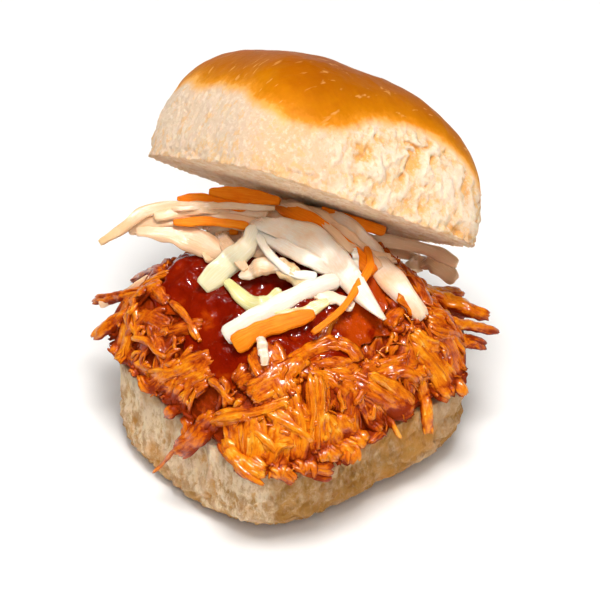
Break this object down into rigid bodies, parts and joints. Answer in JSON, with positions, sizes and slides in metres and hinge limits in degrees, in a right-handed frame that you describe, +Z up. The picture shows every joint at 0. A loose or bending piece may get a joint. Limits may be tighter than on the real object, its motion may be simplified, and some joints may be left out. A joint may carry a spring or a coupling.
{
  "type": "chicken slider",
  "caption": "Small square soft roll, opened, with shredded chicken in sauce and coleslaw piled on its lower half and its upper half tipped back against the pile.",
  "frame": {"origin": "the point of the table under the middle of the whole part's box", "axes": "+Z up, with the lower half's flat foot on z = 0; X and Y along the sides of the lower half; the sandwich opens towards +X -Y, and the upper half is tipped back towards -X +Y"},
  "size_m": [0.1016, 0.0978, 0.099],
  "materials": {
    "pale_crumb": "soft torn crumb, matte",
    "sauced_chicken": "wet, fibrous, satin",
    "red_sauce": "thick wet sauce, glossy",
    "cabbage": "moist cabbage and carrot, satin",
    "golden_crust": "baked crust, satin"
  },
  "bodies": {
    "root": {"heel": "pale_crumb", "chicken": "sauced_chicken", "sauce": "red_sauce", "slaw": "cabbage", "crown": "golden_crust"}
  },
  "joints": []
}
